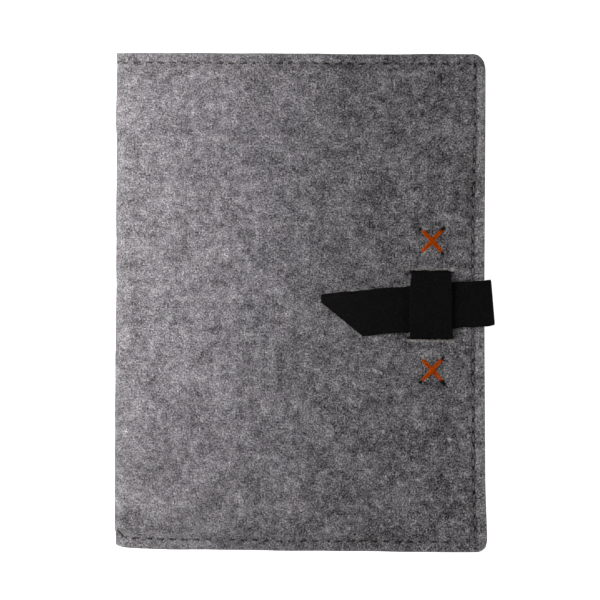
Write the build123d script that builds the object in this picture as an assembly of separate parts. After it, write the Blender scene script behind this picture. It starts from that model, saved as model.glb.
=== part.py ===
from build123d import *
import math
import os

# Book-style felt case for a tablet, closed and lying on its back cover. Millimetres.
# X runs from the spine to the fore-edge, Y from tail to head, Z from the back face up to the front.
# The origin is the middle of the flat back face.

# The room for the tablet that the case is made for
TABLET_HEIGHT = 240.0
BAY_HEIGHT = 8.0

# Outside of the closed case
HALF_WIDTH = 96.5
HALF_HEIGHT = 130.0
CORNER_RADIUS = 5.5

# Sheet thicknesses
FELT = 2.8
BOARD = 1.6
LINING = 1.5
HOLDER = 1.5
POCKET = 1.2
STRAP = 1.6

# Clearances
COVER_GAP = 0.4        # between the two covers when shut
SLIDE_GAP = 0.15       # round the strap where it passes under the loop
FOLD_GAP = 0.05        # each side of a fold's cut plane, and between nested bends
LINING_INSET = 0.5     # linings are trimmed this much inside the outer felt
STEP_SHIFT = 0.4       # the lining steps down this far beyond the felt's own step
CHANNEL_GAP = 0.3      # each side of the strap's sewn end, in the felt and the board
CHANNEL_END = 0.5      # beyond the strap's sewn end
MARGIN = 1.0           # how far a cutting shape reaches past what it cuts

# The layers, from the back face up
BACK_BOARD_Z = FELT
BACK_LINING_Z = FELT + BOARD
BAY_FLOOR_Z = BACK_LINING_Z + LINING
BAY_ROOF_Z = BAY_FLOOR_Z + BAY_HEIGHT
HOLDER_TOP_Z = BAY_ROOF_Z + HOLDER
POCKET_Z = HOLDER_TOP_Z + COVER_GAP
FRONT_LINING_Z = POCKET_Z + POCKET
FRONT_BOARD_Z = FRONT_LINING_Z + LINING
FRONT_FELT_Z = FRONT_BOARD_Z + BOARD
TOP_Z = FRONT_FELT_Z + FELT

# The soft spine: two quarter bends, each opened about a line on its outer surface
BEND_RADIUS = 8.0
BEND_X = -HALF_WIDTH + BEND_RADIUS
HINGE_INSET = BEND_RADIUS * (1 - math.sqrt(0.5))

# The rim: outside the board the felt steps inwards by the board's thickness
RIM_START_X = -80.0
RIM_END_X = 86.5
RIM_SLOPE = 3.0
STEP_BEND = 0.5        # radius of the sheets' small bends at the rim and beside the board
RIM_HALF_HEIGHT = 122.5
RIM_LAP = 1.5

# Boards
BOARD_LEFT = -79.5
BOARD_RIGHT = 85.5
BOARD_HALF_HEIGHT = 120.7
BOARD_RADIUS = 3.0

# Tablet holder: a stepped panel with a screen window, open towards the spine
HOLDER_LEFT = -85.0
HOLDER_INNER_RIGHT = 86.0
HOLDER_INNER_HALF = TABLET_HEIGHT / 2 + 1.2
HOLDER_RADIUS = 4.5
WINDOW_HALF_X = 74.5
WINDOW_HALF_Y = 99.0
WINDOW_RADIUS = 6.0

# Document pocket
POCKET_LEFT = -23.3
NOTCH_RADIUS = 40.0
NOTCH_DEPTH = 12.0

# Seam
SEAM_X = 90.5
SEAM_Y = 125.0
STITCH_PITCH = 6.2
STITCH_LENGTH = 4.4
STITCH_WIDTH = 0.9
STITCH_HEIGHT = 0.4
FIRST_STITCH_X = -76.0
END_STITCHES = 27
SIDE_STITCHES = 40
SPINE_STITCH_LENGTH = 2.9
SPINE_STITCH_STEP = 1.75
SPINE_GROOVE_DEPTH = 0.5
SPINE_GROOVE_LENGTH = 7.0

# Loop on the front cover, with a hidden tab at each end
LOOP_X = 67.9
LOOP_Y = -1.93
LOOP_WIDTH = 22.4
LOOP_HALF_SPAN = 17.75
LOOP_CREASE = 0.2      # inside radius where it dives into a slit
LOOP_BEND = 2.4        # outside radius where it turns over the strap
TAB_REACH = 43.3
SLIT_LENGTH = 26.6
SLIT_WIDTH = 2.0

# Strap
STRAP_TILT = 4.8       # degrees, towards the head at the fore-edge
STRAP_X = 68.1
STRAP_Y = -3.4
STRAP_HALF_WIDTH = 11.8
STRAP_RADIUS = 3.0
STRAP_REACH = 32.7     # from (STRAP_X, STRAP_Y) to the strap's outer face past the fore-edge
ANCHOR_START = -1.0
TIP_REACH = -56.9
TIP_BLUNT = 7.7        # the blunt end runs from the upper edge down to here
TIP_SLANT = -36.7      # where the slanted cut meets the lower edge
STRAP_TOP_Z = TOP_Z + SLIDE_GAP + STRAP

# Cross-stitches of thick thread
CROSS_X = 68.6
CROSS_Y = -2.23        # half way between the two
CROSS_OFFSET = 33.7
CROSS_HALF_X = 5.6
CROSS_HALF_Y = 5.8
CROSS_WIDTH = 1.7
CROSS_HEIGHT = 0.9
CROSS_RETURN = 0.6
LEG_RADIUS = 0.8
HOLE_RADIUS = 1.0
ANCHOR_CROSS_X = 78.0
RECESS_GAP = 0.2
BACK_CROSS_Z = 0.1


def box(x_low, x_high, y_low, y_high, z_low, z_high):
    """Box between two corners."""
    middle = Pos((x_low + x_high) / 2, (y_low + y_high) / 2, (z_low + z_high) / 2)
    return middle * Box(x_high - x_low, y_high - y_low, z_high - z_low)


def plate(x_left, x_right, half_height, radius, z_low, z_high):
    """Flat plate, square on the spine side and rounded at its two fore-edge corners."""
    outline = Rectangle(x_right - x_left, 2 * half_height)
    outline = fillet(outline.vertices().group_by(Axis.X)[-1], radius)
    return Pos((x_left + x_right) / 2, 0, z_low) * extrude(outline, z_high - z_low)


def sheet_profile(points, radii, thickness):
    """Section of a sheet whose outer face follows the points; its thickness lies to their right."""
    path = FilletPolyline(*points, radius=radii)
    outline = offset(path, amount=thickness, side=Side.RIGHT, kind=Kind.INTERSECTION)
    return make_face(outline.edges())


def cut_at(solid, plane_x, plane_z, across_x, across_z, gap=FOLD_GAP):
    """Keeps the part of solid on the (across_x, across_z) side of a plane parallel to Y."""
    length = math.hypot(across_x, across_z)
    shift = gap / length
    origin = (plane_x + across_x * shift, 0, plane_z + across_z * shift)
    return split(solid, bisect_by=Plane(origin=origin, z_dir=(across_x, 0, across_z)), keep=Keep.TOP)


def to_front(solid):
    """Turns a piece of the back cover into the matching piece of the front cover."""
    return mirror(solid, about=Plane.XY.offset(TOP_Z / 2))


def cover_felt():
    """Outer felt of the back cover: raised over the board, stepped inwards at the rim, bent at the spine."""
    points = [
        (HALF_WIDTH, BOARD), (RIM_END_X + RIM_SLOPE, BOARD), (RIM_END_X, 0),
        (-HALF_WIDTH, 0), (-HALF_WIDTH, TOP_Z / 2),
    ]
    profile = sheet_profile(points, [STEP_BEND, STEP_BEND, BEND_RADIUS], FELT)
    felt = extrude(Plane.XZ * profile, HALF_HEIGHT, both=True)
    felt = cut_at(felt, BEND_X, BEND_RADIUS, 1, -1)
    rim_inner = RIM_HALF_HEIGHT - RIM_LAP
    for side in (1, -1):
        y_out = side * (HALF_HEIGHT + MARGIN)
        y_low, y_high = sorted((side * RIM_HALF_HEIGHT, y_out))
        felt -= box(RIM_START_X, HALF_WIDTH + MARGIN, y_low, y_high, -MARGIN, FELT + BOARD + MARGIN)
        y_low, y_high = sorted((side * rim_inner, side * HALF_HEIGHT))
        felt += box(RIM_START_X, HALF_WIDTH, y_low, y_high, BOARD, FELT + BOARD)
    return felt & plate(-HALF_WIDTH, HALF_WIDTH, HALF_HEIGHT, CORNER_RADIUS, -MARGIN, TOP_Z / 2)


def cover_lining():
    """Lining of the back cover: flat over the board, then stepped down to the outer felt at the spine."""
    spine_z = FELT + FOLD_GAP
    step_x = RIM_START_X - STEP_SHIFT
    inner_x = -HALF_WIDTH + spine_z
    right = HALF_WIDTH - LINING_INSET
    points = [
        (right, BACK_LINING_Z), (step_x, BACK_LINING_Z), (step_x - RIM_SLOPE, spine_z),
        (inner_x, spine_z), (inner_x, TOP_Z / 2),
    ]
    profile = sheet_profile(points, [STEP_BEND, STEP_BEND, BEND_RADIUS - spine_z], LINING)
    half_height = HALF_HEIGHT - LINING_INSET
    lining = extrude(Plane.XZ * profile, half_height, both=True)
    lining = cut_at(lining, BEND_X, BEND_RADIUS, 1, -1)
    return lining & plate(-HALF_WIDTH, right, half_height, CORNER_RADIUS - LINING_INSET, 0, TOP_Z / 2)


def spine_sheet(inset, thickness, half_height):
    """The part of a sheet between the two fold planes; its outer face is inset from the spine's."""
    outer_x = -HALF_WIDTH + inset
    inner_x = BEND_X + MARGIN
    points = [(inner_x, inset), (outer_x, inset), (outer_x, TOP_Z - inset), (inner_x, TOP_Z - inset)]
    profile = sheet_profile(points, [BEND_RADIUS - inset] * 2, thickness)
    sheet = extrude(Plane.XZ * profile, half_height, both=True)
    sheet = cut_at(sheet, BEND_X, BEND_RADIUS, -1, 1)
    return cut_at(sheet, BEND_X, TOP_Z - BEND_RADIUS, -1, -1)


def board():
    """Stiffening board of the back cover."""
    half_x = (BOARD_RIGHT - BOARD_LEFT) / 2
    outline = RectangleRounded(2 * half_x, 2 * BOARD_HALF_HEIGHT, BOARD_RADIUS)
    return Pos(BOARD_LEFT + half_x, 0, BACK_BOARD_Z) * extrude(outline, BOARD)


def holder():
    """Holder panel: flange sewn into the rim, wall up three sides of the tablet, border over its face."""
    outer_right = HOLDER_INNER_RIGHT + HOLDER
    outer_half = HOLDER_INNER_HALF + HOLDER
    shell = plate(HOLDER_LEFT, outer_right, outer_half, HOLDER_RADIUS + HOLDER, BAY_FLOOR_Z, HOLDER_TOP_Z)
    room = plate(HOLDER_LEFT - MARGIN, HOLDER_INNER_RIGHT, HOLDER_INNER_HALF, HOLDER_RADIUS,
                 BAY_FLOOR_Z - MARGIN, BAY_ROOF_Z)
    window = RectangleRounded(2 * WINDOW_HALF_X, 2 * WINDOW_HALF_Y, WINDOW_RADIUS)
    shell -= room
    shell -= Pos(0, 0, BAY_ROOF_Z - MARGIN) * extrude(window, HOLDER + 2 * MARGIN)
    flange = plate(RIM_START_X + MARGIN, HALF_WIDTH - LINING_INSET, HALF_HEIGHT - LINING_INSET,
                   CORNER_RADIUS - LINING_INSET, BAY_FLOOR_Z, BAY_FLOOR_Z + HOLDER)
    return shell + (flange - room)


def document_pocket():
    """Pocket panel inside the front cover, with a curved thumb notch in its open edge."""
    panel = plate(POCKET_LEFT, HALF_WIDTH - LINING_INSET, HALF_HEIGHT - LINING_INSET,
                  CORNER_RADIUS - LINING_INSET, POCKET_Z, FRONT_LINING_Z)
    notch_x = POCKET_LEFT + NOTCH_DEPTH - NOTCH_RADIUS
    return panel - Pos(notch_x, 0, (POCKET_Z + FRONT_LINING_Z) / 2) * Cylinder(NOTCH_RADIUS, 2 * POCKET)


def stitch(x, y, z_low, along_y):
    """One straight stitch lying on a face, from z_low up."""
    size = (STITCH_WIDTH, STITCH_LENGTH) if along_y else (STITCH_LENGTH, STITCH_WIDTH)
    return Pos(x, y, z_low + STITCH_HEIGHT / 2) * Box(*size, STITCH_HEIGHT)


def seam(level):
    """Stitches along head, fore-edge and tail of a cover; level(x) gives the underside of a stitch."""
    rows = []
    for side in (1, -1):
        for i in range(END_STITCHES):
            x = FIRST_STITCH_X + i * STITCH_PITCH
            rows.append(stitch(x, side * SEAM_Y, level(x), False))
    for i in range(SIDE_STITCHES):
        y = (i - (SIDE_STITCHES - 1) / 2) * STITCH_PITCH
        rows.append(stitch(SEAM_X, y, level(SEAM_X), True))
    return Compound(children=rows)


def spine_stitches(x_low):
    """Two stitches at each end of the spine, standing on a face at x_low."""
    rows = []
    for side in (1, -1):
        for step in (-SPINE_STITCH_STEP, SPINE_STITCH_STEP):
            place = Pos(x_low + STITCH_HEIGHT / 2, side * SEAM_Y, TOP_Z / 2 + step)
            rows.append(place * Box(STITCH_HEIGHT, STITCH_WIDTH, SPINE_STITCH_LENGTH))
    return Compound(children=rows)


def cross_legs(x, y):
    """The four places where a cross-stitch's thread goes through the layers."""
    return [(x + sx * CROSS_HALF_X, y + sy * CROSS_HALF_Y) for sx in (1, -1) for sy in (1, -1)]


def cross_arms(x, y, width, z_low, z_high):
    """The two crossing arms of a cross-stitch, as one flat X."""
    reach = math.hypot(CROSS_HALF_X, CROSS_HALF_Y)
    angle = math.degrees(math.atan2(CROSS_HALF_Y, CROSS_HALF_X))
    arms = [Rot(0, 0, turn) * SlotCenterToCenter(2 * reach, width) for turn in (angle, -angle)]
    return Pos(x, y, z_low) * extrude(arms[0] + arms[1], z_high - z_low)


def cross_returns(x, y, width, z_low, z_high):
    """The two short runs of a cross-stitch on the inside, one on each side."""
    length = 2 * CROSS_HALF_Y + width
    bars = [box(x + s * CROSS_HALF_X - width / 2, x + s * CROSS_HALF_X + width / 2,
                y - length / 2, y + length / 2, z_low, z_high) for s in (1, -1)]
    return bars[0] + bars[1]


def pins(places, radius, z_low, z_high):
    """Upright round pins at the given places."""
    height = z_high - z_low
    return [Pos(x, y, z_low + height / 2) * Cylinder(radius, height) for x, y in places]


def cross_stitch(x, y, arms_z, return_z):
    """Thread of one cross-stitch: arms from arms_z outwards, returns from return_z, legs between."""
    outward = 1 if arms_z > return_z else -1
    arms_low, arms_high = sorted((arms_z, arms_z + outward * CROSS_HEIGHT))
    returns_low, returns_high = sorted((return_z, return_z - outward * CROSS_RETURN))
    thread = cross_arms(x, y, CROSS_WIDTH, arms_low, arms_high)
    thread += cross_returns(x, y, 2 * LEG_RADIUS, returns_low, returns_high)
    for leg in pins(cross_legs(x, y), LEG_RADIUS, min(arms_low, returns_low), max(arms_high, returns_high)):
        thread += leg
    return thread


def drill(solid, x, y, z_low, z_high):
    """Opens the four thread holes of a cross-stitch through a sheet."""
    for hole in pins(cross_legs(x, y), HOLE_RADIUS, z_low, z_high):
        solid -= hole
    return solid


def along_strap(u_low, u_high, half_width, z_low, z_high):
    """Box laid along the strap."""
    place = Pos(STRAP_X, STRAP_Y, 0) * Rot(0, 0, STRAP_TILT)
    return place * box(u_low, u_high, -half_width, half_width, z_low, z_high)


def strap_pieces():
    """The strap, cut at its two folds: sewn end, upright run at the fore-edge, free tongue."""
    points = [(TIP_REACH, STRAP_TOP_Z), (STRAP_REACH, STRAP_TOP_Z), (STRAP_REACH, BACK_BOARD_Z),
              (ANCHOR_START, BACK_BOARD_Z)]
    profile = sheet_profile(points, [STRAP_RADIUS] * 2, STRAP)
    strap = extrude(Plane.XZ * profile, STRAP_HALF_WIDTH, both=True)
    slope = (TIP_SLANT - TIP_REACH) / (TIP_BLUNT + STRAP_HALF_WIDTH)
    slant = Polyline((TIP_REACH - MARGIN * slope, TIP_BLUNT + MARGIN),
                     (TIP_SLANT + MARGIN * slope, -STRAP_HALF_WIDTH - MARGIN),
                     (TIP_REACH - MARGIN * slope, -STRAP_HALF_WIDTH - MARGIN), close=True)
    strap -= Pos(0, 0, TOP_Z) * extrude(make_face(slant), STRAP_TOP_Z)
    fold_u = STRAP_REACH - STRAP_RADIUS
    low_z = BACK_BOARD_Z + STRAP_RADIUS
    high_z = STRAP_TOP_Z - STRAP_RADIUS
    lower = split(strap, bisect_by=Plane.XY.offset(TOP_Z / 2), keep=Keep.BOTTOM)
    upper = split(strap, bisect_by=Plane.XY.offset(TOP_Z / 2), keep=Keep.TOP)
    bend = cut_at(cut_at(strap, fold_u, low_z, 1, 1), fold_u, high_z, 1, -1)
    anchor = cut_at(lower, fold_u, low_z, -1, -1)
    tongue = cut_at(upper, fold_u, high_z, -1, 1)
    place = Pos(STRAP_X, STRAP_Y, 0) * Rot(0, 0, STRAP_TILT)
    return place * anchor, place * bend, place * tongue


def loop():
    """Loop over the strap: its ends go down through the slits and outwards under the felt."""
    top_z = STRAP_TOP_Z + SLIDE_GAP + STRAP
    points = [(-TAB_REACH, FRONT_FELT_Z), (-LOOP_HALF_SPAN, FRONT_FELT_Z), (-LOOP_HALF_SPAN, top_z),
              (LOOP_HALF_SPAN, top_z), (LOOP_HALF_SPAN, FRONT_FELT_Z), (TAB_REACH, FRONT_FELT_Z)]
    profile = sheet_profile(points, [LOOP_CREASE, LOOP_BEND, LOOP_BEND, LOOP_CREASE], STRAP)
    band = extrude(Plane.YZ * profile, LOOP_WIDTH / 2, both=True)
    return Pos(LOOP_X, LOOP_Y, 0) * band


front_crosses = [(CROSS_X, CROSS_Y + CROSS_OFFSET), (CROSS_X, CROSS_Y - CROSS_OFFSET)]
anchor_cross = (ANCHOR_CROSS_X, LOOP_Y)
half_lining = HALF_HEIGHT - LINING_INSET

# Back cover
back_outer_felt = cover_felt()
channel = (ANCHOR_START - CHANNEL_END, STRAP_REACH, STRAP_HALF_WIDTH + CHANNEL_GAP)
back_outer_felt -= along_strap(*channel, BACK_BOARD_Z, BACK_LINING_Z)
back_outer_felt -= cross_arms(*anchor_cross, CROSS_WIDTH + 2 * RECESS_GAP, -MARGIN,
                              BACK_CROSS_Z + CROSS_HEIGHT)
back_outer_felt = drill(back_outer_felt, *anchor_cross, -MARGIN, FELT + MARGIN)
back_board = board() - along_strap(*channel, 0, BAY_FLOOR_Z)
back_lining = cover_lining() - cross_returns(*anchor_cross, 2 * LEG_RADIUS + RECESS_GAP,
                                             BACK_LINING_Z - MARGIN, BACK_LINING_Z + CROSS_RETURN)
strap_anchor, strap_bend, strap_tongue = strap_pieces()
strap_anchor = drill(strap_anchor, *anchor_cross, BACK_BOARD_Z - MARGIN, BACK_LINING_Z + MARGIN)

# Front cover
front_outer_felt = to_front(cover_felt())
front_board = to_front(board())
front_lining = to_front(cover_lining())
strap_loop = loop()
for side in (1, -1):
    slit_y = LOOP_Y + side * (LOOP_HALF_SPAN - STRAP / 2)
    front_outer_felt -= box(LOOP_X - SLIT_LENGTH / 2, LOOP_X + SLIT_LENGTH / 2, slit_y - SLIT_WIDTH / 2,
                            slit_y + SLIT_WIDTH / 2, FRONT_FELT_Z - MARGIN, TOP_Z + MARGIN)
    tab_start = LOOP_HALF_SPAN - STRAP - RECESS_GAP
    y_low, y_high = sorted((LOOP_Y + side * tab_start, LOOP_Y + side * (TAB_REACH + RECESS_GAP)))
    tab_half = LOOP_WIDTH / 2 + RECESS_GAP
    front_board -= box(LOOP_X - tab_half, LOOP_X + tab_half, y_low, y_high, FRONT_LINING_Z, TOP_Z)
for place in front_crosses:
    front_outer_felt = drill(front_outer_felt, *place, FRONT_FELT_Z - MARGIN, TOP_Z + MARGIN)
    strap_loop = drill(strap_loop, *place, FRONT_BOARD_Z - MARGIN, FRONT_FELT_Z + MARGIN)
    front_lining -= cross_returns(*place, 2 * LEG_RADIUS + RECESS_GAP,
                                  FRONT_BOARD_Z - CROSS_RETURN, FRONT_BOARD_Z + MARGIN)

# Spine
spine_outer_felt = spine_sheet(0, FELT, HALF_HEIGHT)
spine_lining = spine_sheet(FELT + FOLD_GAP, LINING, half_lining)
for side in (1, -1):
    spine_outer_felt -= box(-HALF_WIDTH - MARGIN, -HALF_WIDTH + SPINE_GROOVE_DEPTH,
                            side * SEAM_Y - STITCH_WIDTH, side * SEAM_Y + STITCH_WIDTH,
                            TOP_Z / 2 - SPINE_GROOVE_LENGTH / 2, TOP_Z / 2 + SPINE_GROOVE_LENGTH / 2)


def front_inside_level(x):
    """Underside of a stitch on the inside of the front cover, on the pocket or on the lining."""
    face = POCKET_Z if x > POCKET_LEFT else FRONT_LINING_Z
    return face - STITCH_HEIGHT


pieces = {
    "back_outer_felt": back_outer_felt,
    "back_board": back_board,
    "back_lining": back_lining,
    "tablet_holder": holder(),
    "back_seam_thread": seam(lambda x: BOARD - STITCH_HEIGHT),
    "back_bobbin_thread": seam(lambda x: BAY_FLOOR_Z + HOLDER),
    "strap_anchor": strap_anchor,
    "anchor_cross_stitch": cross_stitch(*anchor_cross, BACK_CROSS_Z + CROSS_HEIGHT, BACK_LINING_Z),
    "spine_outer_felt": spine_outer_felt,
    "spine_lining": spine_lining,
    "spine_seam_thread": spine_stitches(-HALF_WIDTH + SPINE_GROOVE_DEPTH - STITCH_HEIGHT),
    "spine_bobbin_thread": spine_stitches(-HALF_WIDTH + FELT + FOLD_GAP + LINING),
    "front_outer_felt": front_outer_felt,
    "front_board": front_board,
    "front_lining": front_lining,
    "document_pocket": document_pocket(),
    "front_seam_thread": seam(lambda x: TOP_Z - BOARD),
    "front_bobbin_thread": seam(front_inside_level),
    "strap_loop": strap_loop,
    "upper_cross_stitch": cross_stitch(*front_crosses[0], TOP_Z, FRONT_BOARD_Z),
    "lower_cross_stitch": cross_stitch(*front_crosses[1], TOP_Z, FRONT_BOARD_Z),
    "strap_bend": strap_bend,
    "strap_tongue": strap_tongue,
}

os.makedirs("parts", exist_ok=True)
for name, piece in pieces.items():
    export_step(piece, f"parts/{name}.step")

# The lines that the folds turn about, for the joints
strap_u = STRAP_REACH - STRAP_RADIUS * (1 - math.sqrt(0.5))
strap_x = STRAP_X + strap_u * math.cos(math.radians(STRAP_TILT))
strap_y = STRAP_Y + strap_u * math.sin(math.radians(STRAP_TILT))
strap_inset = STRAP_RADIUS * (1 - math.sqrt(0.5))
print("closed thickness", round(TOP_Z, 3))
print("spine hinges x", round(-HALF_WIDTH + HINGE_INSET, 3),
      "z", round(HINGE_INSET, 3), round(TOP_Z - HINGE_INSET, 3))
print("strap hinges x", round(strap_x, 3), "y", round(strap_y, 3),
      "z", round(BACK_BOARD_Z + strap_inset, 3), round(STRAP_TOP_Z - strap_inset, 3))
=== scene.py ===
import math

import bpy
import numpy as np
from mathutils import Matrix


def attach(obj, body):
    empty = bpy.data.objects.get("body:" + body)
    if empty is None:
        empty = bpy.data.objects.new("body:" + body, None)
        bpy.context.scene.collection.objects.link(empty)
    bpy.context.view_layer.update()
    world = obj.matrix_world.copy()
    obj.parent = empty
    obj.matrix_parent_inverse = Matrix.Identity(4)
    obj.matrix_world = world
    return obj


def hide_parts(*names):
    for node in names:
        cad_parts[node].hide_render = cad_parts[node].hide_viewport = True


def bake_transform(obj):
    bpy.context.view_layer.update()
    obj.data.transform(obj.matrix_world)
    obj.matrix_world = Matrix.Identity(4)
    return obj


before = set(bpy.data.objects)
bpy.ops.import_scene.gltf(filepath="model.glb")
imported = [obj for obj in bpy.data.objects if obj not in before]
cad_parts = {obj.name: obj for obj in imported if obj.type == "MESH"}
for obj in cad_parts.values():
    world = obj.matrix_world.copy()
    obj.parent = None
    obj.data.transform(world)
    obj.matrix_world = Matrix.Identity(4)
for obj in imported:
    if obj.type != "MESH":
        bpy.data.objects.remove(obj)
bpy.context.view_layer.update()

# %% [markdown]
# A book-style felt case for a tablet, shut and lying on its back cover. Two stiff covers and a soft
# spine are one thick sheet of grey wool felt, sewn to a lining along the rim. A black felt strap comes
# round from the back and slides under a loop. The frame above holds the exact sizes and the bodies that
# move; the cells below dress it, one piece or finish at a time. All lengths are written in millimetres
# and turned into metres as the last step of each mesh.

MM = 0.001
scene = bpy.context.scene
random = np.random.default_rng(7)

# %% [markdown]
# The camera stands straight above the middle of the case and looks down. It is more than a metre away,
# so the thick covers hardly show their sides. It is made first, so that every piece can be judged through
# it as soon as it exists.

# %% Camera
CAMERA_X, CAMERA_Y, CAMERA_HEIGHT = -0.26, 0.68, 1200.0
VIEW_WIDTH = 313.2
TOP_Z = 22.9
SENSOR = 36.0

camera_data = bpy.data.cameras.new("camera")
camera_data.sensor_width = SENSOR
camera_data.lens = SENSOR * CAMERA_HEIGHT / VIEW_WIDTH
camera = bpy.data.objects.new("camera", camera_data)
camera.location = (CAMERA_X * MM, CAMERA_Y * MM, (TOP_Z + CAMERA_HEIGHT) * MM)
scene.collection.objects.link(camera)
scene.camera = camera
print("camera lens:", round(camera_data.lens, 1), "mm")

# %% [markdown]
# A material is a small network of nodes. These helpers add one node each and hand back the socket that
# comes out, so that a recipe below reads like a formula instead of a list of boxes and wires.

# %% Helpers for node networks
def feed(tree, socket, value):
    """Puts a value on a socket, or wires another socket into it."""
    if isinstance(value, bpy.types.NodeSocket):
        tree.links.new(value, socket)
    elif value is not None:
        socket.default_value = value


def calc(tree, operation, a, b=None, c=None, clamp=False):
    """One Math node; a, b and c are numbers or sockets."""
    node = tree.nodes.new("ShaderNodeMath")
    node.operation, node.use_clamp = operation, clamp
    for socket, value in zip(node.inputs, (a, b, c)):
        feed(tree, socket, value)
    return node.outputs[0]


def vector(tree, operation, a, b=None, scale=None):
    """One Vector Math node."""
    node = tree.nodes.new("ShaderNodeVectorMath")
    node.operation = operation
    feed(tree, node.inputs[0], a)
    feed(tree, node.inputs[1], b)
    if scale is not None:
        feed(tree, node.inputs[3], scale)
    return node.outputs[0]


def noise(tree, where, scale, detail=0.0, roughness=0.5, output="Fac"):
    """One Noise Texture node; scale is in bumps per metre."""
    node = tree.nodes.new("ShaderNodeTexNoise")
    feed(tree, node.inputs["Vector"], where)
    feed(tree, node.inputs["Scale"], scale)
    feed(tree, node.inputs["Detail"], detail)
    feed(tree, node.inputs["Roughness"], roughness)
    return node.outputs[output]


def ramp(tree, value, low, high, to_low=0.0, to_high=1.0):
    """Smooth step: value from low to high becomes to_low to to_high."""
    node = tree.nodes.new("ShaderNodeMapRange")
    node.interpolation_type = "SMOOTHSTEP"
    for socket, number in zip(node.inputs, (value, low, high, to_low, to_high)):
        feed(tree, socket, number)
    return node.outputs[0]


def mix(tree, factor, a, b):
    """Mixes two colours."""
    node = tree.nodes.new("ShaderNodeMix")
    node.data_type = "RGBA"
    feed(tree, node.inputs[0], factor)
    feed(tree, node.inputs[6], a)
    feed(tree, node.inputs[7], b)
    return node.outputs[2]


def length_of(tree, a, b):
    """Length of the flat vector (a, b)."""
    squares = calc(tree, "ADD", calc(tree, "MULTIPLY", a, a), calc(tree, "MULTIPLY", b, b))
    return calc(tree, "POWER", squares, 0.5)


def attribute(tree, name):
    """Reads the vector that a mesh stores at each point under that name."""
    node = tree.nodes.new("ShaderNodeAttribute")
    node.attribute_name = name
    return node.outputs["Vector"]


def split(tree, value):
    """The three parts of a vector."""
    node = tree.nodes.new("ShaderNodeSeparateXYZ")
    feed(tree, node.inputs[0], value)
    return node.outputs


def object_coordinates(tree):
    """Where a point is in its object, in metres."""
    return tree.nodes.new("ShaderNodeTexCoord").outputs["Object"]


def new_group(name, inputs, outputs):
    """An empty node group with named sockets; returns its tree, its inputs and its output node."""
    tree = bpy.data.node_groups.new(name, "ShaderNodeTree")
    for label, kind, value in inputs:
        socket = tree.interface.new_socket(label, in_out="INPUT", socket_type="NodeSocket" + kind)
        if value is not None:
            socket.default_value = value
    for label, kind in outputs:
        tree.interface.new_socket(label, in_out="OUTPUT", socket_type="NodeSocket" + kind)
    return tree, tree.nodes.new("NodeGroupInput").outputs, tree.nodes.new("NodeGroupOutput").inputs


def use_group(tree, group, **values):
    """Places a group in a tree with its own values and returns its outputs."""
    node = tree.nodes.new("ShaderNodeGroup")
    node.node_tree = group
    for label, value in values.items():
        feed(tree, node.inputs[label], value)
    return node.outputs


def new_material(name):
    """A material with just a Principled shader and its output."""
    material = bpy.data.materials.new(name)
    material.use_nodes = True
    return material, material.node_tree, material.node_tree.nodes["Principled BSDF"]


def set_gloss(shader, roughness, gloss):
    """Sets how rough the surface is and how strongly it mirrors."""
    shader.inputs["Roughness"].default_value = roughness
    shader.inputs["Specular IOR Level"].default_value = gloss


def bump(tree, shader, height, distance, strength=1.0):
    """Feeds a height, in shares of distance, to the shader's normal."""
    node = tree.nodes.new("ShaderNodeBump")
    node.inputs["Strength"].default_value = strength
    node.inputs["Distance"].default_value = distance
    feed(tree, node.inputs["Height"], height)
    tree.links.new(node.outputs[0], shader.inputs["Normal"])


print("node helpers ready")

# %% [markdown]
# Wool felt is a mat of curly fibres pressed flat. Each tuft is a thin curved line, lighter or darker than
# the mat, that runs a few millimetres and fades out. The contour lines of a stretched noise have just
# that shape, so one group draws one family of hairs that lie roughly one way, and a felt uses several
# families turned to different angles.

# %% Group: one family of hairs
hairs, given, result = new_group(
    "wool_hairs",
    [("Vector", "Vector", None), ("Angle", "Float", 0.0), ("Length", "Float", 0.006),
     ("Width", "Float", 0.0010), ("Seed", "Float", 0.0), ("Fineness", "Float", 0.05)],
    [("Hair", "Float")])
own_place = vector(hairs, "SCALE", (0.31, 0.17, 0.23), scale=given["Seed"])
curl = noise(hairs, vector(hairs, "ADD", given["Vector"], own_place), 260.0, output="Color")
curl = vector(hairs, "SUBTRACT", curl, (0.5, 0.5, 0.5))
bent = vector(hairs, "ADD", given["Vector"], vector(hairs, "SCALE", curl, scale=4.2 * MM))
turn = hairs.nodes.new("ShaderNodeVectorRotate")
turn.rotation_type = "Z_AXIS"
feed(hairs, turn.inputs["Vector"], bent)
feed(hairs, turn.inputs["Angle"], given["Angle"])
stretch = hairs.nodes.new("ShaderNodeCombineXYZ")
for socket, label in zip(stretch.inputs, ("Length", "Width", "Width")):
    feed(hairs, socket, given[label])
laid = vector(hairs, "DIVIDE", turn.outputs[0], stretch.outputs[0])
laid = vector(hairs, "ADD", laid, vector(hairs, "SCALE", (7.3, 3.1, 5.7), scale=given["Seed"]))
field = noise(hairs, laid, 1.0)
line = calc(hairs, "ABSOLUTE", calc(hairs, "SUBTRACT", field, 0.5))
feed(hairs, result["Hair"], ramp(hairs, line, given["Fineness"], 0.0))
print("group wool_hairs")

# %% [markdown]
# A heather felt mixes pale and dark wool. The second group adds several families of hairs, the clouds
# where one wool got the upper hand, and a fine grain, and puts out one number from dark to light. The
# same number, softened, is the height for the bump: a pale tuft usually lies on top.

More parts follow.
